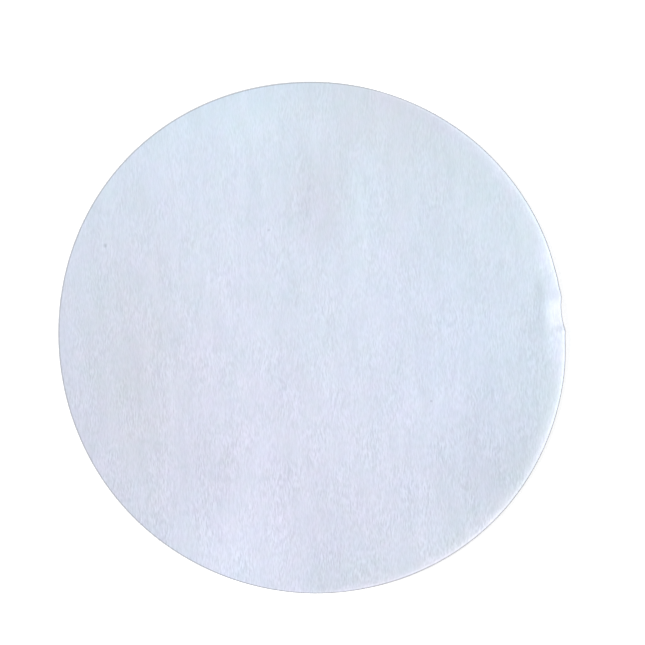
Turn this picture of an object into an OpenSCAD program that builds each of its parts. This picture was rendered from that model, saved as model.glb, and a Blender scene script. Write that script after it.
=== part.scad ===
// Filter paper disc: one round of filter paper, die cut from the sheet.
// It lies flat in the middle, its margin lifts in low waves, and on one side the rim curls up
// into a lip that a pinch has crimped. The origin is the centre of the flat underside, with +Z
// up and +X towards the crimped side. Lengths are in mm and angles in degrees, counter-clockwise
// from +X. Widths along the sheet are those of the paper itself, so where it turns up its
// outline draws in, as a bent sheet's does.

/* [Disc] */
// Greatest diameter of the round, laid flat
disc_d = 125; // [70:5:185]
// How far the four flatter sides fall short of the full round
flat_side_h = 0.4; // [0:0.05:0.6]
// Direction of one of the four flatter sides
flat_side_at = 4; // [0:1:89]
// Thickness of the paper
paper_t = 0.18; // [0.14:0.01:0.4]
// Bevel that the die's knife pressed into the upper edge of the cut
edge_bevel = 0.05; // [0.02:0.01:0.1]
// How far the upper edge of the cut overhangs the lower one
cut_lean = 0.06; // [0:0.01:0.1]

/* [Margin waves] */
// Width of the margin that can lift, between the flat middle and the rim
margin_w = 18; // [14:1:26]
// Height to which a wave lifts the rim
wave_h = 0.6; // [0:0.1:1.5]
// Direction of the middle one of the three crests
wave_at = 190; // [0:5:355]
// Angle from one crest to the next
wave_pitch = 100; // [60:5:115]

/* [Lip] */
// Width of the strip that curls up along the rim
lip_w = 8; // [5:0.5:12]
// Power by which the curl gathers towards the rim
lip_curl = 5; // [3:0.5:7]
// Slope of the lip at the rim
lip_turn = 40; // [0:2:50]
// Direction in which the middle of the lip lies
lip_at = -8; // [-180:2:180]
// Angle over which the lip runs, its faded ends included
lip_span = 190; // [100:5:300]
// Angle over which each end of the lip fades out
lip_fade = 30; // [10:5:50]

/* [Crimp] */
// Direction of the crimp's middle
crimp_at = 6.3; // [-180:0.1:180]
// Angle from the crimp's middle to where it ends
crimp_half_span = 4; // [3:0.1:9]
// Angle over which each side of the crimp rises
crimp_side = 2; // [1.5:0.1:5]
// Distance from the rim in to the crimp's crease
crimp_w = 5; // [3:0.1:9]
// Width over which the sheet bends at a crease
crease_w = 2.3; // [1:0.1:3]
// Slope that the crimp adds outside its crease
crimp_turn = 14.5; // [0:0.5:30]
// Part of the lip's curl that is pressed out at the crimp
flattening = 0.75; // [0:0.05:1]
// Angle from the crimp's middle to the middle of the stretch where the curl is pressed out
flat_from_crimp = 0.9; // [-3:0.1:3]
// Angle from the middle of that stretch to where it ends
flat_half_span = 5.9; // [4:0.1:9]
// Angle over which the pressing out fades in on each side of it
flat_fade = 3; // [1.5:0.1:4]

/* [Swell] */
// Direction in which the margin round the crimp lifts most
swell_at = 2; // [-180:1:180]
// Angle over which the swell dies away, clockwise
swell_near_side = 10; // [6:1:30]
// Angle over which the swell dies away, counter-clockwise
swell_far_side = 31; // [10:1:50]
// Width of the strip that the swell lifts
swell_w = 6.1; // [4:0.1:10]
// Slope of the swell
swell_turn = 6.5; // [0:0.5:12]
// Height to which the whole width of the margin lifts there
swell_h = 0.45; // [0:0.05:1]

/* [Hollow] */
// Angle from the crimp's middle to the middle of the hollow beside it
hollow_from_crimp = 5.7; // [-20:0.1:20]
// Angle over which the hollow dies away on each side
hollow_half_span = 5.5; // [4:0.5:15]
// Distance from the rim in to the middle of the hollow's falling side
hollow_in = 4.9; // [4:0.1:9]
// Distance over which that side dies away, inwards and outwards
hollow_half_w = 1.7; // [1:0.1:3]
// Slope by which it falls
hollow_turn = 9; // [0:1:12]

/* [Buckle] */
// Angle from the crimp's middle to the middle of the shallow buckle beside it
buckle_from_crimp = 10.7; // [8:0.1:30]
// Angle over which the buckle dies away on each side
buckle_half_span = 6.5; // [4:0.5:30]
// Width of the strip that the buckle lifts along the rim
buckle_w = 6; // [3:0.5:8]
// Slope that the buckle adds at the rim
buckle_turn = 5; // [0:1:15]

/* [Pull] */
// Distance by which the pinch pulled the rim in
pull_in = 0.4; // [0:0.05:1]
// Angle over which the pull dies away, clockwise of the crimp's middle
pull_near_side = 4; // [3.5:0.5:15]
// Angle over which the pull dies away, counter-clockwise
pull_far_side = 10; // [6:0.5:25]
// Width of the strip that is drawn in
pull_w = 12; // [8:1:14]

/* [Hidden] */

flat_r = disc_d / 2 - margin_w;  // radius within which the sheet lies flat
lap_w = 1;                       // the margin's ring reaches this far into the flat middle
rows = 14;                       // strips from the flat middle to the rim
row_crowding = 1.7;              // over 1 draws the strips closer together towards the rim
coarse_step = 3;                 // angle between sections
fine_cuts = 5;                   // parts into which a step is cut near the crimp

// Angle from direction b round to direction a, between -180 and 180
function swing(a, b) = a - b - 360 * round((a - b) / 360);

// A rounded hill: 1 at x = 0, falling to 0 at x = -1 and x = 1
function hill(x) = abs(x) < 1 ? (1 + cos(180 * x)) / 2 : 0;

// A rounded step: 0 up to x = 0, 1 from x = 1
function rise(x) = let(u = min(max(x, 0), 1)) u * u * (3 - 2 * u);

// A rounded hill about the direction at, with its own angle to die away on each side
function lopsided_hill(a, at, near_side, far_side) = let(off = swing(a, at))
    hill(off < 0 ? off / near_side : off / far_side);

// How strongly each form shows in direction a, from 0 to 1
function flat_side(a) = (1 + cos(4 * (a - flat_side_at))) / 2;
function wave(a) = let(off = swing(a, wave_at) / wave_pitch)
    abs(off) < 1.5 ? (1 + cos(360 * off)) / 2 : 0;
function crimp(a) = rise((crimp_half_span - abs(swing(a, crimp_at))) / crimp_side);
function flattened(a) = flattening
    * rise((flat_half_span - abs(swing(a, crimp_at + flat_from_crimp))) / flat_fade);
function lip(a) = (1 - flattened(a)) * rise((lip_span / 2 - abs(swing(a, lip_at))) / lip_fade);
function swell(a) = lopsided_hill(a, swell_at, swell_near_side, swell_far_side);
function hollow(a) = hill(swing(a, crimp_at + hollow_from_crimp) / hollow_half_span);
function buckle(a) = hill(swing(a, crimp_at + buckle_from_crimp) / buckle_half_span);
function pull(a) = lopsided_hill(a, crimp_at, pull_near_side, pull_far_side);

// Slope of the sheet in direction a, at the distance s from the flat middle
function slope(a, s) = let(to_rim = margin_w - s)
    atan(2 * (wave(a) * wave_h + swell(a) * swell_h) * s / (margin_w * margin_w))
    + lip(a) * lip_turn * pow(max(1 - to_rim / lip_w, 0), lip_curl)
    + swell(a) * swell_turn * rise((swell_w - to_rim) / crease_w)
    + crimp(a) * crimp_turn * rise((crimp_w - to_rim) / crease_w)
    - hollow(a) * hollow_turn * hill((to_rim - hollow_in) / hollow_half_w)
    + buckle(a) * buckle_turn * rise(1 - to_rim / buckle_w);

// Distance from the flat middle to the end of strip j, measured along the paper
function strip_end(j) = margin_w * (1 - pow(1 - j / rows, row_crowding));

// Step in radius and height across strip j, whose slope is taken at its middle
function strip_step(a, j) =
    let(s0 = strip_end(j - 1), s1 = strip_end(j), k = slope(a, (s0 + s1) / 2))
    (s1 - s0) * [cos(k), sin(k)];

// The underside's [radius, height] at the end of each strip in direction a, walked outwards
function walk(a) = [for (j = 0, p = [flat_r, 0]; j <= rows;
    j = j + 1, p = j > rows ? p : p + strip_step(a, j)) p];

// How much shorter than that the radius is at strip end j, for the flatter sides and the pull
function drawn_in(a, j) = (flat_side_h * flat_side(a) + pull_in * pull(a))
    * hill((margin_w - strip_end(j)) / pull_w);

function in_space(a, p) = [p[0] * cos(a), p[0] * sin(a), p[1]];
function unit(v) = v / norm(v);

// Directions of the sections round the disc, closer together from before the crimp to the end of
// the pull beside it
function cuts(a) = let(off = swing(a + coarse_step / 2, crimp_at))
    off > -crimp_half_span - coarse_step && off < pull_far_side + coarse_step ? fine_cuts : 1;
directions = [for (a = [0 : coarse_step : 360 - coarse_step])
    for (k = [0 : cuts(a) - 1]) a + k * coarse_step / cuts(a)];
sections = len(directions);

// The underside as a grid of points, one list for each direction
underside = [for (a = directions) let(path = walk(a))
    [for (j = [0 : rows]) in_space(a, path[j] - [drawn_in(a, j), 0])]];

// The underside's upward normal at strip end j of section i, from its neighbours
function normal_at(i, j) = j == 0 ? [0, 0, 1] :
    let(
        outwards = underside[i][min(j + 1, rows)] - underside[i][j - 1],
        along = underside[(i + 1) % sections][j] - underside[(i + sections - 1) % sections][j]
    )
    unit(cross(outwards, along));

// Outline of section i: out along the underside, up the cut edge, back along the upper face
function section_outline(i) =
    let(
        a = directions[i],
        normals = [for (j = [0 : rows]) normal_at(i, j)],
        rim = underside[i][rows],
        outwards = unit(rim - underside[i][rows - 1]),
        lap = in_space(a, [flat_r - lap_w, 0])
    )
    concat(
        [lap],
        [for (j = [0 : rows - 1]) underside[i][j]],
        [rim - cut_lean * outwards],
        [rim + (paper_t - edge_bevel) * normals[rows]],
        [rim + paper_t * normals[rows] - edge_bevel * outwards],
        [for (j = [rows - 1 : -1 : 0]) underside[i][j] + paper_t * normals[j]],
        [lap + [0, 0, paper_t]]
    );

// A closed ring of sections, skinned with triangles
module ring_of_sections(outlines) {
    n = len(outlines);
    m = len(outlines[0]);
    polyhedron(
        points = [for (outline = outlines) each outline],
        faces = [for (i = [0 : n - 1]) for (k = [0 : m - 1])
            let(
                here = i * m,
                next = (i + 1) % n * m,
                k2 = (k + 1) % m
            )
            each [[here + k, here + k2, next + k2], [here + k, next + k2, next + k]]],
        convexity = 8
    );
}

// The round of paper: a true flat middle, with the shaped margin lapped on to it
module filter_disc() {
    color("#DBE3F0") {
        cylinder(r = flat_r - lap_w / 2, h = paper_t, $fn = 180);
        ring_of_sections([for (i = [0 : sections - 1]) section_outline(i)]);
    }
}

filter_disc();
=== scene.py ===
"""Looks of a filter paper disc: the paper sheet with its fibres and cut edge, and its studio."""

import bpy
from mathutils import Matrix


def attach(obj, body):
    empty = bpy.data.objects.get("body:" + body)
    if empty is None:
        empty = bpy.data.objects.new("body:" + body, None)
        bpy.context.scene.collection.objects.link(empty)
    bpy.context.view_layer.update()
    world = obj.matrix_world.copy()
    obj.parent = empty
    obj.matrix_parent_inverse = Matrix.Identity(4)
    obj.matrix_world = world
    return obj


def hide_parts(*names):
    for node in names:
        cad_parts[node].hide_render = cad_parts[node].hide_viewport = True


bl_info = {
    "name": "Filter paper disc",
    "version": (1, 0, 0),
    "blender": (4, 5, 0),
    "location": "3D View > Sidebar > Filter paper",
    "description": "Models a round of filter paper, its finish and a plain studio",
    "category": "Add Mesh",
}

import math

import bpy
import numpy as np
from bpy.props import FloatProperty, FloatVectorProperty, IntProperty, PointerProperty
from mathutils import Matrix, Vector

MM = 0.001
CAD_NODE = "filter_disc"

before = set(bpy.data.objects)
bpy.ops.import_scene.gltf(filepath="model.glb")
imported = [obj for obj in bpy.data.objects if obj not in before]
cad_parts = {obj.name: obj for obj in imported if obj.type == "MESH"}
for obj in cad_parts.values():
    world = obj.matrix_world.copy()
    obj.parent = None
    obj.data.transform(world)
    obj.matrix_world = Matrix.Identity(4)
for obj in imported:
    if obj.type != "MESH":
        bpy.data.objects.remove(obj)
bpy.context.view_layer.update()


def length(name, description, default):
    """A length property in metres, shown in Blender's own unit."""
    return FloatProperty(
        name=name,
        description=description,
        default=default,
        min=0.0,
        precision=5,
        unit="LENGTH",
        subtype="DISTANCE",
    )


def angle(name, description, degrees):
    """An angle property, given in degrees and stored in radians."""
    return FloatProperty(
        name=name,
        description=description,
        default=math.radians(degrees),
        unit="ROTATION",
        subtype="ANGLE",
    )


def share(name, description, default, most=1.0):
    """A plain factor, from 0 to the most that it may be."""
    return FloatProperty(name=name, description=description, default=default, min=0.0, max=most)


def number(name, description, default, least):
    """A whole number, from the least that it may be."""
    return IntProperty(name=name, description=description, default=default, min=least)


def colour(name, description, rgb):
    """A scene-linear colour."""
    return FloatVectorProperty(
        name=name,
        description=description,
        default=rgb,
        size=3,
        subtype="COLOR",
        min=0.0,
        max=1.0,
    )


# ---------------------------------------------------------------- sizes and colours


class DiscSizes(bpy.types.PropertyGroup):
    """The sheet's form, with the values that the solid model is built from."""

    diameter: length("Diameter", "Greatest diameter of the round, laid flat", 125 * MM)
    flat_side_h: length("Out of round", "How far the four flatter sides fall short", 0.4 * MM)
    flat_side_at: angle("Flatter side", "Direction of one of the four flatter sides", 4)
    thickness: length("Thickness", "Thickness of the paper", 0.18 * MM)
    edge_bevel: length("Edge bevel", "Bevel pressed into the upper edge of the cut", 0.05 * MM)
    cut_lean: length("Cut lean", "How far the cut's upper edge overhangs the lower one", 0.06 * MM)

    margin_w: length("Margin width", "Width of the margin that can lift", 18 * MM)
    wave_h: length("Wave height", "Height to which a wave lifts the rim", 0.6 * MM)
    wave_at: angle("Wave direction", "Direction of the middle crest", 190)
    wave_pitch: angle("Wave pitch", "Angle from one crest to the next", 100)

    lip_w: length("Lip width", "Width of the strip that curls up along the rim", 8 * MM)
    lip_curl: share("Lip curl", "Power by which the curl gathers towards the rim", 5.0, 9.0)
    lip_turn: angle("Lip turn", "Slope of the lip at the rim", 40)
    lip_at: angle("Lip direction", "Direction of the middle of the lip", -8)
    lip_span: angle("Lip span", "Angle over which the lip runs", 190)
    lip_fade: angle("Lip fade", "Angle over which each end of the lip fades", 30)

    crimp_at: angle("Crimp direction", "Direction of the crimp's middle", 6.3)
    crimp_half_span: angle("Crimp half span", "Angle from its middle to where it ends", 4)
    crimp_side: angle("Crimp side", "Angle over which each side of the crimp rises", 2)
    crimp_w: length("Crimp width", "Distance from the rim in to the crease", 5 * MM)
    crimp_bend_w: length("Crimp bend", "Width over which the sheet bends", 2.3 * MM)
    crimp_turn: angle("Crimp turn", "Slope added outside the crease", 14.5)

    flattening: share("Flattening", "Part of the lip's curl pressed out at the crimp", 0.75)
    flat_from_crimp: angle("Flattening offset", "From the crimp to where it is pressed out", 0.9)
    flat_half_span: angle("Flattening half span", "Angle from that middle to where it ends", 5.9)
    flat_fade: angle("Flattening fade", "Angle over which it fades in on each side", 3)

    swell_at: angle("Swell direction", "Where the margin round the crimp lifts most", 2)
    swell_near_side: angle("Near side", "Angle over which the swell dies away, clockwise", 10)
    swell_far_side: angle("Far side", "Angle over which it dies away, counter-clockwise", 31)
    swell_w: length("Swell width", "Width of the strip that the swell lifts", 6.1 * MM)
    swell_turn: angle("Swell turn", "Slope of the swell", 6.5)
    swell_h: length("Swell height", "Height to which the margin's whole width lifts", 0.45 * MM)

    hollow_from_crimp: angle("Hollow offset", "Angle from the crimp to the hollow beside it", 5.7)
    hollow_half_span: angle("Hollow half span", "Angle over which the hollow dies away", 5.5)
    hollow_in: length("Hollow distance", "From the rim in to the hollow's falling side", 4.9 * MM)
    hollow_half_w: length("Hollow half width", "Width over which that side dies away", 1.7 * MM)
    hollow_turn: angle("Hollow turn", "Slope by which it falls", 9)

    buckle_from_crimp: angle("Buckle offset", "Angle from the crimp to the buckle", 10.7)
    buckle_half_span: angle("Buckle half span", "Angle over which the buckle dies away", 6.5)
    buckle_w: length("Buckle width", "Width of the strip that the buckle lifts", 6 * MM)
    buckle_turn: angle("Buckle turn", "Slope that the buckle adds at the rim", 5)

    pull_in: length("Pull", "Distance by which the pinch pulled the rim in", 0.4 * MM)
    pull_near_side: angle("Pull, near side", "Angle over which the pull dies away, clockwise", 4)
    pull_far_side: angle("Pull, far side", "Angle over which it dies away, counter-clockwise", 10)
    pull_w: length("Pull width", "Width of the strip that the pull draws in", 12 * MM)

    sections: number("Sections", "Sections round the disc", 440, 24)
    middle_rings: number("Middle rings", "Rings in the flat middle", 46, 4)
    margin_rings: number("Margin rings", "Rings across the margin", 44, 6)


class PaperLook(bpy.types.PropertyGroup):
    """Colours and grain of the paper, and the painted shade along its rim."""

    paper_colour: colour("Paper", "Colour of the paper's faces", (0.693, 0.7463, 0.8655))
    fringe_colour: colour("Fringe", "Colour of the fibres along the cut", (0.74, 0.75, 0.785))
    # Dark grey of a painted shade line along the rim, standing in for the sheet's shadow there
    crush_colour: colour("Crushed", "Colour of the fibres crushed inside it", (0.25, 0.255, 0.26))
    fibre_w: length("Fibre width", "Width of a clump of fibres", 0.41 * MM)
    fibre_l: length("Fibre length", "Length of a clump of fibres", 1.5 * MM)
    fibre_contrast: share("Fibre contrast", "Light and dark of the fibres", 0.052)
    fibre_relief: length("Fibre relief", "Height of the fibres in the surface", 0.0105 * MM)
    cloud_contrast: share("Cloud contrast", "Light and dark of the paper's formation", 0.045)
    hue_contrast: share("Hue contrast", "Change of hue in the paper's formation", 0.16)
    hue_blue_share: share("Blue's share", "Change of blue as a part of the change of red", 0.84)

    fringe_w: length("Fringe width", "Width of the loose fibres along the cut", 0.30 * MM)
    # Where the painted shade line along the rim lies, how wide and how deep it is: deeper on one
    # side and shallower on another, as the shadow falls, and out at the rim where the lip turns up
    crush_in: length("Crushed line", "Distance from the rim in to the crushed line", 0.36 * MM)
    crush_in_at_lip: length("Crushed line, lip", "That distance where the rim turns up", 0.03 * MM)
    crush_w: length("Crushed line's width", "Width of the line that the die crushed", 0.36 * MM)
    crush_depth: share("Crushed line's depth", "Strength of the crushed line", 0.57)
    crush_more: share("Crushed more", "How much deeper it is where it was crushed most", 0.7)
    crush_more_at: angle("Crushed most", "Direction in which it was crushed most", -66)
    crush_more_half_span: angle("Crushed more, span", "Angle over which that dies away", 66)
    crush_less: share("Crushed less", "How much shallower it is where it was crushed least", 0.22)
    crush_less_at: angle("Crushed least", "Direction in which it was crushed least", 54)
    crush_less_half_span: angle("Crushed less, span", "Angle over which that dies away", 32)
    drag_at: angle("Drag direction", "Middle of the stretch where the line runs at the rim", -12)
    drag_half_span: angle("Drag half span", "Angle from there to where it leaves the rim", 112)
    drag_side: angle("Drag side", "Angle over which it leaves the rim", 45)

    roughness: share("Roughness", "Roughness of the paper", 0.9)
    shine: share("Shine", "Strength of the paper's shine", 0.2)


class StudioSetup(bpy.types.PropertyGroup):
    """Camera, light and table."""

    camera_distance: length("Camera distance", "From the disc's centre to the camera", 0.45)
    camera_azimuth: angle("Camera direction", "Direction the camera stands in, from +X", 34.5)
    camera_tilt: angle("Camera tilt", "Tilt of the camera off the vertical", 10.4)
    picture_w: length("Picture width", "Width that the picture takes in at the disc", 0.1558)
    shift_x: share("Shift across", "Shift of the picture across, in picture widths", 0.0230)
    shift_y: share("Shift up", "Shift of the picture up, in picture widths", 0.0282)
    key_azimuth: angle("Key direction", "Direction the key light comes from, from +X", 167.5)
    key_zenith: angle("Key zenith", "Angle of the key light off the vertical", 48)
    key_softness: angle("Key softness", "Angle that the key light fills", 30)
    key_share: share("Key share", "Part of the light that comes from the key", 0.74)
    table_colour: colour("Table", "Colour of the table top", (0.9, 0.9, 0.9))
    table_lift: share("Table lift", "Light added to the table where a white ground is seen", 0.75)
    table_half_w: length("Table half width", "From the disc's centre to the table's edge", 2.0)
    table_drop: length("Table drop", "Keeps the table clear of the sheet's underside", 0.01 * MM)
    lit_below_r: length("Lit from below", "Radius in which the table lets light through", 61 * MM)


# ---------------------------------------------------------------- the sheet's form

FLAT_SIDES = 4  # sides on which the round is slightly flatter
CRESTS = 3  # waves of the margin
DIRECTION_STEPS = 3600  # steps of the table from which the sections' directions are read
CRIMP_CROWDING = 2  # how many more sections there are at the crimp, per section elsewhere
CRIMP_REACH = 3  # half spans of the crimp over which they thin out
RING_CROWDING = 1.6  # over 1 draws the margin's rings closer together towards the rim
BEVEL_ROUNDING = 0.3  # part of the bevel that is left at the point that rounds it
LATTICE = 256  # random values along each side of the noise's lattice

# Gentle unevenness of the sheet: width of its swellings, their height and the noise's seed
COCKLES = ((21 * MM, 0.10 * MM, 5), (6 * MM, 0.012 * MM, 8))


def swing(a, b):
    """Angle from direction b round to direction a, between minus and plus half a turn."""
    return (a - b + math.pi) % (2 * math.pi) - math.pi


def hill(x):
    """A rounded hill: half of one plus the cosine of x half turns, and 0 beyond -1 and 1."""
    return np.where(np.abs(x) < 1, (1 + np.cos(np.pi * x)) / 2, 0.0)


def rise(x):
    """A rounded step: 3 x squared less 2 x cubed, held at 0 before x = 0 and at 1 after x = 1."""
    u = np.clip(x, 0, 1)
    return u * u * (3 - 2 * u)


def lopsided_hill(a, at, near_side, far_side):
    """A rounded hill about the direction at, with its own angle to die away on each side."""
    off = swing(a, at)
    return hill(off / np.where(off < 0, near_side, far_side))


def lip_strength(d, a):
    """How far the lip is turned up in direction a: 1 along its middle, fading to 0 at its ends."""
    return rise((d.lip_span / 2 - np.abs(swing(a, d.lip_at))) / d.lip_fade)


def crimp_strength(d, a):
    """How far the crimp is turned up in direction a: 1 along its top, 0 beyond its sides."""
    return rise((d.crimp_half_span - np.abs(swing(a, d.crimp_at))) / d.crimp_side)


def slope(d, a, s):
    """Slope of the sheet in direction a at the distance s from the flat middle: the waves, the
    lip, the swell, the crimp, the hollow and the buckle, each its strength round the rim times
    its growth across the margin."""
    to_rim = d.margin_w - s
    from_crest = swing(a, d.wave_at) / d.wave_pitch
    on_waves = np.abs(from_crest) < CRESTS / 2
    wave = np.where(on_waves, (1 + np.cos(2 * np.pi * from_crest)) / 2, 0.0)
    crimp = crimp_strength(d, a)
    from_flattening = np.abs(swing(a, d.crimp_at + d.flat_from_crimp))
    flattened = rise((d.flat_half_span - from_flattening) / d.flat_fade)
    lip = lip_strength(d, a) * (1 - d.flattening * flattened)
    swell = lopsided_hill(a, d.swell_at, d.swell_near_side, d.swell_far_side)
    hollow = hill(swing(a, d.crimp_at + d.hollow_from_crimp) / d.hollow_half_span)
    buckle = hill(swing(a, d.crimp_at + d.buckle_from_crimp) / d.buckle_half_span)
    return (
        np.arctan(2 * (wave * d.wave_h + swell * d.swell_h) * s / d.margin_w**2)
        + lip * d.lip_turn * np.clip(1 - to_rim / d.lip_w, 0, 1) ** d.lip_curl
        + swell * d.swell_turn * rise((d.swell_w - to_rim) / d.crimp_bend_w)
        + crimp * d.crimp_turn * rise((d.crimp_w - to_rim) / d.crimp_bend_w)
        - hollow * d.hollow_turn * hill((to_rim - d.hollow_in) / d.hollow_half_w)
        + buckle * d.buckle_turn * rise(1 - to_rim / d.buckle_w)
    )


def spread_directions(d):
    """Directions of the sections: equal steps of a count that runs three times as fast across the
    crimp as elsewhere, turned back into an angle by reading its table the other way."""
    table = np.linspace(-math.pi, math.pi, DIRECTION_STEPS + 1)
    middle = d.hollow_from_crimp / 2
    width = CRIMP_REACH * d.crimp_half_span
    speed = 1 + CRIMP_CROWDING * np.exp(-(((table - middle) / width) ** 2))
    count = np.concatenate([[0], np.cumsum((speed[1:] + speed[:-1]) / 2)])
    wanted = np.linspace(0, count[-1], d.sections, endpoint=False)
    return np.interp(wanted, count, table) + d.crimp_at


def walk_outwards(d, a, s):
    """The underside's radius and height at the distances s from the flat middle, in the directions
    a: the sum of the strips' lengths times the cosine and the sine of the slope at their middles,
    less what the flatter sides and the pinch's pull take off, which dies away inwards."""
    steps = np.diff(s)
    slopes = slope(d, a[:, None], ((s[1:] + s[:-1]) / 2)[None, :])
    start = np.zeros((len(a), 1))
    radius = np.concatenate([start, np.cumsum(steps * np.cos(slopes), axis=1)], axis=1)
    height = np.concatenate([start, np.cumsum(steps * np.sin(slopes), axis=1)], axis=1)
    flat_side = (1 + np.cos(FLAT_SIDES * (a - d.flat_side_at))) / 2
    pull = lopsided_hill(a, d.crimp_at, d.pull_near_side, d.pull_far_side)
    short = (d.flat_side_h * flat_side + d.pull_in * pull)[:, None]
    radius -= short * hill((d.margin_w - s) / d.pull_w)
    return d.diameter / 2 - d.margin_w + radius, height


def smooth_noise(x, y, cell, seed):
    """Value noise from -1 to 1: random values on a square lattice of the given cell, blended
    between its corners by a rounded step."""
    lattice = np.random.default_rng(seed).uniform(-1, 1, (LATTICE, LATTICE))
    u, v = x / cell + LATTICE / 4, y / cell + LATTICE / 4
    i, j = np.floor(u).astype(int), np.floor(v).astype(int)
    fu, fv = rise(u - i), rise(v - j)
    i, j = i % (LATTICE - 1), j % (LATTICE - 1)
    low = lattice[i, j] * (1 - fu) + lattice[i + 1, j] * fu
    high = lattice[i, j + 1] * (1 - fu) + lattice[i + 1, j + 1] * fu
    return low * (1 - fv) + high * fv


def grid_normals(points):
    """Upward normals of a grid of points, section by ring: the cross of the step outwards and the
    step round, each from the neighbours on both sides."""
    outwards = np.gradient(points, axis=1)
    around = np.roll(points, -1, axis=0) - np.roll(points, 1, axis=0)
    normals = np.cross(outwards, around)
    return normals / np.linalg.norm(normals, axis=2, keepdims=True)


def sheet_grid(d):
    """The sheet's underside as a grid, section by ring, and each ring's distance in from the rim
    along the paper. The rings crowd together towards the rim, and the last strip is as wide as the
    sheet's bevel and lean together, so that neither folds back over it."""
    flat_r = d.diameter / 2 - d.margin_w
    a = spread_directions(d)
    last_w = d.edge_bevel + d.cut_lean
    crowded = 1 - (1 - np.linspace(0, 1, d.margin_rings - 1)) ** RING_CROWDING
    s = np.append((d.margin_w - last_w) * crowded, d.margin_w)
    radius, height = walk_outwards(d, a, s)
    middle = np.linspace(0, flat_r, d.middle_rings + 1)[1:-1]
    radius = np.concatenate([np.broadcast_to(middle, (len(a), len(middle))), radius], axis=1)
    height = np.concatenate([np.zeros((len(a), len(middle))), height], axis=1)
    x, y = radius * np.cos(a)[:, None], radius * np.sin(a)[:, None]
    to_rim = np.concatenate([d.diameter / 2 - middle, d.margin_w - s])
    return np.stack([x, y, height], axis=2), to_rim


def cockle(x, y):
    """Gentle unevenness of the sheet, as heights: the sum of each cockle's height times its smooth
    noise, which is carried to between 0 and 1 so that no swelling goes below the table."""
    return sum(
        height * (0.5 + 0.5 * smooth_noise(x, y, cell, seed)) for cell, height, seed in COCKLES
    )


def sheet_arrays(d):
    """Points, quads, pole triangles and each point's distance to the rim, for the closed sheet.
    Each section runs out along the underside, up the cut, over its bevel and back along the upper
    face, and one point at the middle closes each face."""
    under, to_rim = sheet_grid(d)
    under[..., 2] += cockle(under[..., 0], under[..., 1])
    normals = grid_normals(under)
    outwards = under[:, -1] - under[:, -2]
    outwards /= np.linalg.norm(outwards, axis=1, keepdims=True)
    upper = under + d.thickness * normals
    rim, up = under[:, -1].copy(), normals[:, -1]
    cut_top = rim + (d.thickness - d.edge_bevel) * up
    eased = BEVEL_ROUNDING * d.edge_bevel
    half_bevel = rim + (d.thickness - eased) * up - eased * outwards
    upper[:, -1] -= d.edge_bevel * outwards
    under[:, -1] -= d.cut_lean * outwards
    loops = np.concatenate([under, cut_top[:, None], half_bevel[:, None], upper[:, ::-1]], axis=1)
    poles = np.zeros((2, 3))
    poles[:, 2] = under[:, 0, 2].mean(), upper[:, 0, 2].mean()
    points = np.concatenate([loops.reshape(-1, 3), poles])

    n, m = loops.shape[:2]
    here = np.arange(n)[:, None] * m
    there = (np.arange(n)[:, None] + 1) % n * m
    k = np.arange(m - 1)[None, :]
    quads = np.stack([here + k, there + k, there + k + 1, here + k + 1], axis=2).reshape(-1, 4)
    under_pole, upper_pole = np.full(n, n * m), np.full(n, n * m + 1)
    under_fan = np.stack([there[:, 0], here[:, 0], under_pole], axis=1)
    upper_fan = np.stack([here[:, 0] + m - 1, there[:, 0] + m - 1, upper_pole], axis=1)

    distance = np.tile(np.concatenate([to_rim, [0, 0], to_rim[::-1]]), n)
    distance = np.concatenate([distance, [d.diameter / 2] * 2])
    return points, quads, np.concatenate([under_fan, upper_fan]), distance


# ---------------------------------------------------------------- tints that follow the sheet, partly painted light and shade

# Slow changes over the sheet: the value at the middle, then what x, y, x squared and y squared add
# to it, with x and y as shares of the radius below.
SLOW_R = 62.5 * MM
SLOW_TONE = (1.017, 0.0, 0.036, -0.010, -0.025)
SLOW_RED = (1.049, 0.006, -0.044, -0.034, -0.079)
SLOW_BLUE = (1.011, -0.047, -0.021, -0.056, -0.022)
SLOW_GRAIN = (1.0, 0.0, -0.36, 0.0, 0.0)

# Soft patches, lighter or darker: partly clouds in the sheet's thickness, partly painted shade and
# painted light that stand in for the shading of the sheet's slopes and of the crimp. Centre x and
# y and half widths in x and y in millimetres, and how much lighter or darker the paper is there.
CLOUDS_AND_PAINTED_SHADE = (
    (-16.5, -53.7, 12.7, 13.4, 0.087),
    (-43.8, -5.0, 15.6, 35.0, -0.082),
    (14.5, 56.7, 25.5, 21.1, -0.063),
    # Painted shade, where the sheet inside the lip would slope away from the light
    (44.9, -29.0, 17.0, 18.4, -0.060),
    (1.4, 33.1, 6.0, 10.6, -0.060),
    (-9.8, 57.6, 14.2, 10.7, 0.054),
    (30.4, -17.3, 7.7, 10.4, 0.048),
    (-5.5, -19.4, 4.1, 31.7, -0.017),
    # The next three, at the crimp, are painted light and shade: darker just inside it, lighter on
    # its face
    (55.3, 6.5, 2.1, 6.5, -0.050),
    (59.0, 7.4, 1.3, 3.0, 0.036),
    (54.2, 5.0, 4.2, 13.0, -0.020),
    (14.6, 32.9, 5.2, 17.0, 0.041),
    (-24.3, -31.8, 6.8, 13.3, -0.038),
    (3.0, -50.4, 6.3, 12.5, -0.045),
    (-22.4, 49.0, 30.0, 8.2, 0.027),
)

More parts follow.
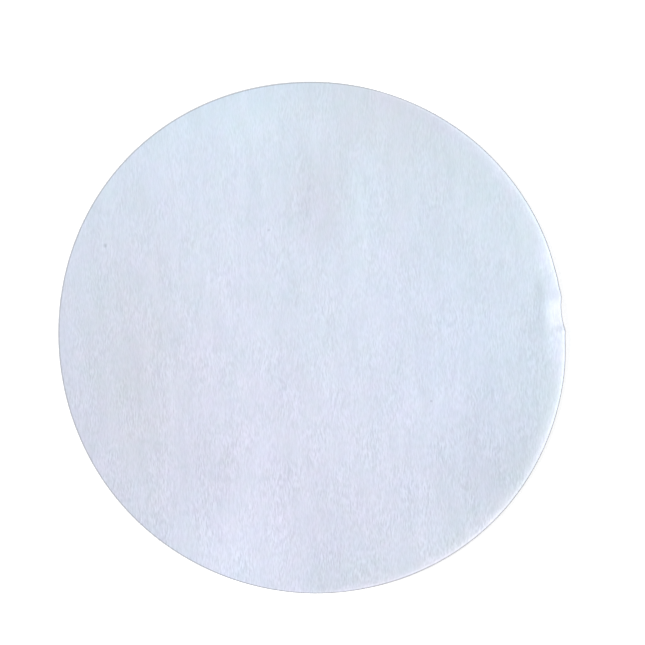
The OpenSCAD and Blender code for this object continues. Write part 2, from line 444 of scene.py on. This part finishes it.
# Soft patches of another hue: centre x and y and half widths in x and y in millimetres, and how
# much more red and more blue the paper holds there.
HUE_PATCHES = (
    (50.4, -3.0, 37.0, 48.3, -0.072, 0.062),
    (18.5, 59.3, 16.8, 15.1, 0.060, -0.001),
    (-3.7, 6.1, 26.2, 26.1, -0.040, -0.018),
    (-42.1, -11.7, 13.4, 34.7, 0.003, -0.038),
    (59.4, 5.6, 1.9, 4.2, 0.004, -0.034),
    (14.7, 35.5, 3.7, 12.7, -0.042, -0.018),
    (3.7, 34.5, 5.0, 7.1, 0.042, -0.003),
)

# Painted light on the turned-up lip: painted shade, a little grey, in a strip along the rim that
# tones its lit face down, and a painted highlight, a whiter line near the rim: what each adds to
# red, green and blue, and where it lies, in from the rim.
LIP_PAINTED_SHADE = (-0.045, -0.052, -0.07)
LIP_PAINTED_SHADE_FULL_W = 2.0 * MM
LIP_PAINTED_SHADE_FADE_W = 2.6 * MM
LIP_PAINTED_HIGHLIGHT = (0.10, 0.10, 0.08)
LIP_PAINTED_HIGHLIGHT_IN = 0.5 * MM
LIP_PAINTED_HIGHLIGHT_HALF_W = 0.33 * MM

# Counter-clockwise of the lip's middle the strip of painted shade loses part of its red and blue:
# the part, the angle from the middle at which the loss begins, and the angle over which it comes
# in.
LIP_PAINTED_SHADE_LOSS = 0.7
LIP_PAINTED_SHADE_LOSS_FROM = math.radians(-5)
LIP_PAINTED_SHADE_LOSS_SPAN = math.radians(15)


def slow_change(x, y, middle, per_x, per_y, per_xx, per_yy):
    """A slow change over the sheet: a sum of the terms in x, y, x squared and y squared."""
    u, v = x / SLOW_R, y / SLOW_R
    return middle + per_xx * u**2 + per_yy * v**2 + per_x * u + per_y * v


def soft_patch(x, y, cx, cy, wx, wy):
    """A soft patch: the exponential of minus the squared distance in half widths."""
    return np.exp(-(((x / MM - cx) / wx) ** 2) - ((y / MM - cy) / wy) ** 2)


def lip_tint(d, points, to_rim):
    """Red, green and blue factors of the turned-up lip's painted light: one plus what the strip of
    painted shade and the line of painted highlight add, times the lip's strength. The strip dies
    away inwards by a rounded step, and its red also towards the rim. The line is a rounded hill."""
    a = np.arctan2(points[:, 1], points[:, 0])
    kept = 1 - LIP_PAINTED_SHADE_LOSS * rise((swing(a, d.lip_at) - LIP_PAINTED_SHADE_LOSS_FROM) / LIP_PAINTED_SHADE_LOSS_SPAN)
    strip = 1 - rise((to_rim - LIP_PAINTED_SHADE_FULL_W) / LIP_PAINTED_SHADE_FADE_W)
    parts = (kept * strip * rise(to_rim / LIP_PAINTED_SHADE_FULL_W), strip, kept * strip)
    painted_shade = np.stack([factor * part for factor, part in zip(LIP_PAINTED_SHADE, parts)], axis=1)
    line = hill((to_rim - LIP_PAINTED_HIGHLIGHT_IN) / LIP_PAINTED_HIGHLIGHT_HALF_W)
    white = np.array(LIP_PAINTED_HIGHLIGHT) * line[:, None]
    return 1 + lip_strength(d, a)[:, None] * (painted_shade + white)


def paper_tint(d, points, to_rim):
    """Red, green and blue factors of the paper's colour, with light and shade painted into it: the
    lightness times the hue's shares of red and blue, each a slow change plus its patches'
    strengths times their soft patches, and all times the lip's painted light. Some of the
    lightness's patches are painted shade and light. The fourth value is the strength of the grain."""
    x, y = points[:, 0], points[:, 1]
    tone = slow_change(x, y, *SLOW_TONE)
    # Patches that are partly the paper's formation, partly painted shade and light
    for *place, strength in CLOUDS_AND_PAINTED_SHADE:
        tone += strength * soft_patch(x, y, *place)
    red, blue = slow_change(x, y, *SLOW_RED), slow_change(x, y, *SLOW_BLUE)
    for *place, more_red, more_blue in HUE_PATCHES:
        patch = soft_patch(x, y, *place)
        red += more_red * patch
        blue += more_blue * patch
    tint = np.stack([tone * red, tone, tone * blue], axis=1) * lip_tint(d, points, to_rim)
    return np.concatenate([tint, slow_change(x, y, *SLOW_GRAIN)[:, None]], axis=1)


def cut_values(look, points, to_rim):
    """How strongly the fringe shows, the distance from the line of painted shade along the rim,
    which stands in for the sheet's shadow there, and that line's depth. The fringe fades by a
    rounded step where the rim turns up, and there the line runs out to the rim.
    The depth grows by a rounded hill about one direction and shrinks by one about another."""
    a = np.arctan2(points[:, 1], points[:, 0])
    line_at_rim = rise((look.drag_half_span - np.abs(swing(a, look.drag_at))) / look.drag_side)
    line = look.crush_in + (look.crush_in_at_lip - look.crush_in) * line_at_rim
    more = hill(swing(a, look.crush_more_at) / look.crush_more_half_span)
    less = hill(swing(a, look.crush_less_at) / look.crush_less_half_span)
    depth = look.crush_depth * (1 + look.crush_more * more - look.crush_less * less)
    return 1 - line_at_rim, to_rim - line, depth


# ---------------------------------------------------------------- meshes


def mesh_from_arrays(name, points, quads, triangles):
    """A smooth-shaded mesh from arrays of points, four-sided faces and three-sided faces."""
    mesh = bpy.data.meshes.new(name)
    corners = np.concatenate([quads.ravel(), triangles.ravel()])
    quad_starts = np.arange(len(quads)) * quads.shape[1]
    triangle_starts = quads.size + np.arange(len(triangles)) * triangles.shape[1]
    starts = np.concatenate([quad_starts, triangle_starts])
    mesh.vertices.add(len(points))
    mesh.vertices.foreach_set("co", points.astype(np.float32).ravel())
    mesh.loops.add(len(corners))
    mesh.loops.foreach_set("vertex_index", corners.astype(np.int32))
    mesh.polygons.add(len(starts))
    mesh.polygons.foreach_set("loop_start", starts.astype(np.int32))
    mesh.update(calc_edges=True)
    mesh.validate()
    mesh.shade_smooth()
    return mesh


def add_values(mesh, name, values):
    """Gives each point of the mesh a number that its material reads."""
    layer = mesh.attributes.new(name, "FLOAT", "POINT")
    layer.data.foreach_set("value", values.astype(np.float32))


def add_colours(mesh, name, colours):
    """Gives each point of the mesh a colour that its material reads."""
    layer = mesh.attributes.new(name, "FLOAT_COLOR", "POINT")
    layer.data.foreach_set("color", colours.astype(np.float32).ravel())


# ---------------------------------------------------------------- materials

NOISE_STEP = (0.37, 0.23, 0.0)  # how far apart the noises of one tree are read, in metres
MIX_A, MIX_B, MIX_RESULT = 6, 7, 2  # a Mix node's sockets for colours


class Nodes:
    """Short calls for building a node tree."""

    def __init__(self, tree):
        self.tree = tree
        self.noises = 0
        tree.nodes.clear()

    def add(self, kind, inputs=None, **settings):
        """A node of the given kind, with its settings and its inputs' values or links."""
        node = self.tree.nodes.new(kind)
        for key, value in settings.items():
            setattr(node, key, value)
        for key, value in (inputs or {}).items():
            self.put(node.inputs[key], value)
        return node

    def put(self, socket, value):
        """Links an output to the socket, or sets the socket's own value."""
        if isinstance(value, bpy.types.NodeSocket):
            self.tree.links.new(value, socket)
        else:
            socket.default_value = value

    def maths(self, operation, a, b=0.0):
        """The result of one operation on plain numbers."""
        return self.add("ShaderNodeMath", {0: a, 1: b}, operation=operation).outputs[0]

    def sum(self, a, b):
        """One number plus another."""
        return self.maths("ADD", a, b)

    def times(self, a, b):
        """One number times another."""
        return self.maths("MULTIPLY", a, b)

    def most(self, a, b):
        """The larger of two numbers."""
        return self.maths("MAXIMUM", a, b)

    def vector(self, operation, a, b):
        """The result of one operation on two points or colours."""
        return self.add("ShaderNodeVectorMath", {0: a, 1: b}, operation=operation).outputs[0]

    def scaled(self, a, factor):
        """A point or colour times a number."""
        inputs = {0: a, "Scale": factor}
        return self.add("ShaderNodeVectorMath", inputs, operation="SCALE").outputs[0]

    def distance(self, a, b):
        """The distance from one point to another."""
        node = self.add("ShaderNodeVectorMath", {0: a, 1: b}, operation="DISTANCE")
        return node.outputs["Value"]

    def read(self, name):
        """The outputs of a value or colour that the mesh carries."""
        return self.add("ShaderNodeAttribute", attribute_name=name).outputs

    def seen_as_background(self, path):
        """1 for a ray from the camera, a gloss or a glass, which is to find a white background."""
        seen = self.most(path["Is Camera Ray"], path["Is Glossy Ray"])
        return self.most(seen, path["Is Transmission Ray"])

    def mapped(self, value, low, high, to_low, to_high, kind="LINEAR"):
        """Carries a value from one range to another, held at its ends."""
        ends = {"From Min": low, "From Max": high, "To Min": to_low, "To Max": to_high}
        node = self.add("ShaderNodeMapRange", {"Value": value, **ends}, interpolation_type=kind)
        return node.outputs["Result"]

    def mix(self, factor, a, b):
        """A mix of two colours: a where the factor is 0, b where it is 1."""
        inputs = {"Factor": factor, MIX_A: a, MIX_B: b}
        return self.add("ShaderNodeMix", inputs, data_type="RGBA").outputs[MIX_RESULT]

    def noise(self, place, cell, turn=0.0, detail=2.0, roughness=0.5):
        """Noise from 0 to 1 whose grains have the given width and length, and depth where a third
        size gives it, turned about Z. Each call reads another part of the noise."""
        self.noises += 1
        placed = self.add(
            "ShaderNodeMapping",
            {
                "Vector": place,
                "Location": [step * self.noises for step in NOISE_STEP],
                "Rotation": (0.0, 0.0, turn),
            },
            vector_type="POINT",
        ).outputs[0]
        sized = self.vector("MULTIPLY", placed, (1 / cell[0], 1 / cell[1], 1 / cell[-1]))
        inputs = {"Vector": sized, "Scale": 1.0, "Detail": detail, "Roughness": roughness}
        return self.add("ShaderNodeTexNoise", inputs).outputs["Fac"]


# Width and length of the grains of each layer of noise
SWAY = (8 * MM, 8 * MM)  # the slow bending of the fibres' run
PATCHINESS = (6 * MM, 10 * MM)  # patches of stronger and weaker grain
THREADS = (1.3 * MM, 6.2 * MM)  # long threads of fibre
SMALL_CLOUDS = (2.6 * MM, 12.5 * MM)  # the formation's clouds
LARGE_CLOUDS = (8 * MM, 28 * MM)
TINGE = (5 * MM, 7 * MM)  # patches between green and purple
BROAD_TINGE = (14 * MM, 16 * MM)
WARMTH = (6 * MM, 6 * MM)  # patches between warm and cool

# How far each layer turns from the sheet's Y axis
STREAK_TURN = math.radians(3)
CROSSED_TURN = math.radians(-8)
THREAD_TURN = math.radians(4)
SMALL_CLOUD_TURN = math.radians(-3)
TINGE_TURN = 1.0
BROAD_TINGE_TURN = 0.5
WARMTH_TURN = 2.0

SWAY_REACH = 2.5  # how far the sway shifts a fibre, in fibre widths
CROSSED_W, CROSSED_L = 0.8, 0.7  # the crossed fibres' size, as shares of the streaks'
STREAK_WEIGHT, CROSSED_WEIGHT = 0.55, 0.45
FIBRE_LOW, FIBRE_HIGH = 0.3, 0.7  # noise that makes the darkest and the lightest fibre
PATCH_LOW, PATCH_HIGH = 0.35, 0.65  # noise that makes the weakest and the strongest patch
WEAKEST_GRAIN, STRONGEST_GRAIN = 0.6, 1.4
THREAD_WEIGHT, CLOUD_WEIGHT = 0.8, 1.55
BROAD_TINGE_WEIGHT, WARMTH_WEIGHT = 0.4, 0.5
HUE_DETAIL = {"detail": 3.2, "roughness": 0.85}

# Dark flecks left in the pulp: centre x and y and radius in millimetres, and darkness.
FLECKS = (
    (-49.8, 23.0, 0.56, 0.20),
    (-9.2, 26.7, 0.36, 0.16),
    (29.9, -14.3, 0.36, 0.22),
)
FLECK_HEIGHT = 0.3 * MM  # their height, near the upper face
FLECK_CORE, FLECK_REACH = 0.4, 1.2  # where a fleck is full and where it ends, in radii

FRINGE_FADE = 0.33  # part of the fringe's width, each way, over which it fades out


def fibre_grain(n, place, look):
    """The fibres, about 0: streaks along Y and others that cross them, both on a swayed run, times
    the strength of the patch that they lie in."""
    w, l = look.fibre_w, look.fibre_l
    sway = n.sum(n.noise(place, SWAY, detail=1.0), -0.5)
    swayed = n.vector("ADD", place, n.scaled((SWAY_REACH * w, 0.0, 0.0), sway))
    streaks = n.noise(swayed, (w, l, w), STREAK_TURN, detail=0.0)
    crossed = n.noise(swayed, (w * CROSSED_W, l * CROSSED_L, w), CROSSED_TURN, detail=0.0)
    both = n.sum(n.times(streaks, STREAK_WEIGHT), n.times(crossed, CROSSED_WEIGHT))
    fibres = n.mapped(both, FIBRE_LOW, FIBRE_HIGH, -1.0, 1.0)
    patches = n.noise(place, PATCHINESS, detail=1.0)
    patches = n.mapped(patches, PATCH_LOW, PATCH_HIGH, WEAKEST_GRAIN, STRONGEST_GRAIN)
    return n.times(fibres, patches)


def formation(n, place):
    """Thin and thick places of the sheet, about 0: threads, small clouds and large ones."""
    threads = n.noise(place, THREADS, THREAD_TURN, detail=0.0)
    small = n.noise(place, SMALL_CLOUDS, SMALL_CLOUD_TURN, detail=0.0)
    large = n.noise(place, LARGE_CLOUDS, detail=1.0)
    clouds = n.sum(n.times(threads, THREAD_WEIGHT), n.times(n.sum(small, large), CLOUD_WEIGHT))
    return n.sum(clouds, -(THREAD_WEIGHT + 2 * CLOUD_WEIGHT) / 2)


def hue_shifts(n, place):
    """What the paper's hue adds to red and to blue, about 0: the tinge lifts both, and the warmth
    lifts red and lowers blue."""
    tinge = n.noise(place, TINGE, TINGE_TURN, **HUE_DETAIL)
    broad = n.times(n.noise(place, BROAD_TINGE, BROAD_TINGE_TURN), BROAD_TINGE_WEIGHT)
    tinge = n.sum(n.sum(tinge, broad), -(1 + BROAD_TINGE_WEIGHT) / 2)
    warmth = n.noise(place, WARMTH, WARMTH_TURN, **HUE_DETAIL)
    warmth = n.times(n.sum(warmth, -0.5), WARMTH_WEIGHT)
    return n.sum(tinge, warmth), n.maths("SUBTRACT", tinge, warmth)


def with_flecks(n, place, paper):
    """The paper with its dark flecks, each fading from its core to its reach."""
    for x, y, radius, darkness in FLECKS:
        off = n.distance(place, (x * MM, y * MM, FLECK_HEIGHT))
        core, reach = radius * MM * FLECK_CORE, radius * MM * FLECK_REACH
        paper = n.scaled(paper, n.mapped(off, core, reach, 1 - darkness, 1.0))
    return paper


def with_cut_edge(n, paper, look):
    """The paper with the fringe of loose fibres along its cut and a line of painted shade inside
    it, which stands in for the sheet's shadow along the rim.
    """
    fringe_in, fringe_out = look.fringe_w * (1 - FRINGE_FADE), look.fringe_w * (1 + FRINGE_FADE)
    fringe = n.mapped(n.read("to_rim")["Fac"], fringe_in, fringe_out, 1.0, 0.0, "SMOOTHSTEP")
    fringed = n.times(n.read("fringe")["Fac"], fringe)
    # The line of painted shade along the rim
    away = n.maths("ABSOLUTE", n.read("from_rim_shade_line")["Fac"])
    line = n.mapped(away, 0.0, look.crush_w / 2, 1.0, 0.0, "SMOOTHSTEP")
    rim_shade = n.times(line, n.read("crush_depth")["Fac"])
    edged = n.mix(fringed, paper, (*look.fringe_colour, 1.0))
    return n.mix(rim_shade, edged, (*look.crush_colour, 1.0))


def paper_material(look):
    """Felted filter paper: fibre streaks over clouded formation, rougher than card, with a fringe
    of loose fibres along the cut and a line of painted shade inside it, which stands in for the
    sheet's shadow along the rim. Its colour from the mesh also carries painted light and shade, on
    the lip and in part of the clouds."""
    material = bpy.data.materials.new("filter_paper")
    material.use_nodes = True
    n = Nodes(material.node_tree)
    place = n.add("ShaderNodeTexCoord").outputs["Object"]
    # The mesh's colour factors, which carry painted light and shade as well as the paper's tint
    tint = n.read("paper_tint")

    fibres = n.times(fibre_grain(n, place, look), tint["Alpha"])
    clouds = n.times(formation(n, place), look.cloud_contrast)
    tone = n.sum(n.sum(n.times(fibres, look.fibre_contrast), clouds), 1.0)
    red, blue = hue_shifts(n, place)
    shades = {
        "X": n.sum(tone, n.times(red, look.hue_contrast)),
        "Y": tone,
        "Z": n.sum(tone, n.times(blue, look.hue_contrast * look.hue_blue_share)),
    }
    paper = n.vector("MULTIPLY", tint["Color"], tuple(look.paper_colour))
    paper = n.vector("MULTIPLY", paper, n.add("ShaderNodeCombineXYZ", shades).outputs[0])
    paper = with_cut_edge(n, with_flecks(n, place, paper), look)

    relief = {"Strength": 1.0, "Distance": look.fibre_relief, "Height": fibres}
    finish = {
        "Base Color": paper,
        "Roughness": look.roughness,
        "Specular IOR Level": look.shine,
        "Normal": n.add("ShaderNodeBump", relief).outputs["Normal"],
    }
    surface = n.add("ShaderNodeBsdfPrincipled", finish).outputs["BSDF"]
    n.add("ShaderNodeOutputMaterial", {"Surface": surface})
    return material


def table_material(studio):
    """Matt white table top that is seen as plain white, with the object's shadow kept. It can be
    seen through from below, and under the sheet it lets the light on to the sheet's underside."""
    material = bpy.data.materials.new("white_table")
    material.use_nodes = True
    n = Nodes(material.node_tree)
    path = n.add("ShaderNodeLightPath").outputs
    matt = n.add("ShaderNodeBsdfDiffuse", {"Color": (*studio.table_colour, 1.0)}).outputs[0]
    lift = n.times(n.seen_as_background(path), studio.table_lift)
    glow = n.add("ShaderNodeEmission", {"Color": (1, 1, 1, 1), "Strength": lift}).outputs[0]
    white = n.add("ShaderNodeAddShader", {0: matt, 1: glow}).outputs[0]

    from_middle = n.distance(n.add("ShaderNodeTexCoord").outputs["Object"], (0.0, 0.0, 0.0))
    under_sheet = n.maths("LESS_THAN", from_middle, studio.lit_below_r)
    light = n.most(path["Is Diffuse Ray"], path["Is Shadow Ray"])
    from_below = n.add("ShaderNodeNewGeometry").outputs["Backfacing"]
    passed = n.most(from_below, n.times(under_sheet, light))
    clear = n.add("ShaderNodeBsdfTransparent").outputs[0]
    surface = n.add("ShaderNodeMixShader", {0: passed, 1: white, 2: clear}).outputs[0]
    n.add("ShaderNodeOutputMaterial", {"Surface": surface})
    return material


# ---------------------------------------------------------------- studio

SENSOR_W = 36.0  # the camera's sensor, in millimetres


def add_table(scene, studio):
    """A plain square table top at the height on which the sheet lies."""
    mesh = bpy.data.meshes.new("table_top")
    half, z = studio.table_half_w, -studio.table_drop
    corners = [(-half, -half, z), (half, -half, z), (half, half, z), (-half, half, z)]
    mesh.from_pydata(corners, [], [(0, 1, 2, 3)])
    mesh.materials.append(table_material(studio))
    table = bpy.data.objects.new("table_top", mesh)
    scene.collection.objects.link(table)


def add_lights(scene, studio):
    """A soft sun and an even sky that together light a level white surface to just white."""
    sun = bpy.data.lights.new("key", "SUN")
    sun.energy = math.pi * studio.key_share / math.cos(studio.key_zenith)
    sun.angle = studio.key_softness
    lamp = bpy.data.objects.new("key", sun)
    a, z = studio.key_azimuth, studio.key_zenith
    towards = Vector((math.sin(z) * math.cos(a), math.sin(z) * math.sin(a), math.cos(z)))
    lamp.rotation_mode = "QUATERNION"
    lamp.rotation_quaternion = towards.to_track_quat("Z", "Y")
    scene.collection.objects.link(lamp)

    world = bpy.data.worlds.new("studio_sky")
    world.use_nodes = True
    n = Nodes(world.node_tree)
    seen = n.seen_as_background(n.add("ShaderNodeLightPath").outputs)
    strength = n.mapped(seen, 0.0, 1.0, 1 - studio.key_share, 1.0)
    sky = n.add("ShaderNodeBackground", {"Color": (1, 1, 1, 1), "Strength": strength}).outputs[0]
    n.add("ShaderNodeOutputWorld", {"Surface": sky})
    scene.world = world


def add_camera(scene, studio):
    """A long lens almost overhead, tipped off the vertical without any turn of the picture."""
    data = bpy.data.cameras.new("camera")
    data.sensor_width = SENSOR_W
    data.lens = SENSOR_W * studio.camera_distance / studio.picture_w
    data.shift_x = studio.shift_x
    data.shift_y = studio.shift_y
    camera = bpy.data.objects.new("camera", data)
    a, tilt = studio.camera_azimuth, studio.camera_tilt
    turn = Matrix.Rotation(tilt, 4, Vector((-math.sin(a), math.cos(a), 0)))
    camera.matrix_world = turn @ Matrix.Translation((0, 0, studio.camera_distance))
    scene.collection.objects.link(camera)
    scene.camera = camera
    scene.view_settings.view_transform = "Standard"


# ---------------------------------------------------------------- operators


class FILTERPAPER_OT_sheet(bpy.types.Operator):
    """Makes the paper sheet with its turned rim, crimp and cut edge"""

    bl_idname = "filter_paper.sheet"
    bl_label = "Paper sheet"

    def execute(self, context):
        sizes, look = context.scene.filter_disc_sizes, context.scene.filter_paper_look
        points, quads, triangles, to_rim = sheet_arrays(sizes)
        mesh = mesh_from_arrays("paper_sheet", points, quads, triangles)
        fringe, from_line, depth = cut_values(look, points, to_rim)
        add_values(mesh, "fringe", fringe)
        add_values(mesh, "to_rim", to_rim)
        # The painted shade line along the rim: distance from it and its depth
        add_values(mesh, "from_rim_shade_line", from_line)
        add_values(mesh, "crush_depth", depth)
        # The paper's tint, with painted light and shade on the lip and in part of the clouds
        add_colours(mesh, "paper_tint", paper_tint(sizes, points, to_rim))
        mesh.materials.append(paper_material(look))
        sheet = bpy.data.objects.new("paper_sheet", mesh)
        context.scene.collection.objects.link(sheet)
        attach(sheet, "root")
        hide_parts(CAD_NODE)
        return {"FINISHED"}


class FILTERPAPER_OT_studio(bpy.types.Operator):
    """Makes the table, the lights and the camera"""

    bl_idname = "filter_paper.studio"
    bl_label = "Studio"

    def execute(self, context):
        studio = context.scene.filter_paper_studio
        add_table(context.scene, studio)
        add_lights(context.scene, studio)
        add_camera(context.scene, studio)
        return {"FINISHED"}


# ---------------------------------------------------------------- panel and registration


class FILTERPAPER_PT_panel(bpy.types.Panel):
    """Sizes, looks and buttons in the sidebar"""

    bl_label = "Filter paper disc"
    bl_space_type = "VIEW_3D"
    bl_region_type = "UI"
    bl_category = "Filter paper"

    def draw(self, context):
        scene = context.scene
        for operator in OPERATORS:
            self.layout.operator(operator.bl_idname)
        for group in (scene.filter_disc_sizes, scene.filter_paper_look, scene.filter_paper_studio):
            column = self.layout.column(heading=group.__class__.__name__)
            for name in group.__class__.__annotations__:
                column.prop(group, name)


GROUPS = {
    "filter_disc_sizes": DiscSizes,
    "filter_paper_look": PaperLook,
    "filter_paper_studio": StudioSetup,
}
OPERATORS = (FILTERPAPER_OT_sheet, FILTERPAPER_OT_studio)
CLASSES = (*GROUPS.values(), *OPERATORS, FILTERPAPER_PT_panel)


def register():
    """Registers the classes and gives the scene its property groups."""
    for cls in CLASSES:
        bpy.utils.register_class(cls)
    for name, group in GROUPS.items():
        setattr(bpy.types.Scene, name, PointerProperty(type=group))


def unregister():
    """Takes back what register does."""
    for name in GROUPS:
        delattr(bpy.types.Scene, name)
    for cls in reversed(CLASSES):
        bpy.utils.unregister_class(cls)


def main():
    """Registers the classes and makes every piece."""
    register()
    bpy.ops.filter_paper.sheet()
    bpy.ops.filter_paper.studio()


if __name__ == "__main__":
    main()
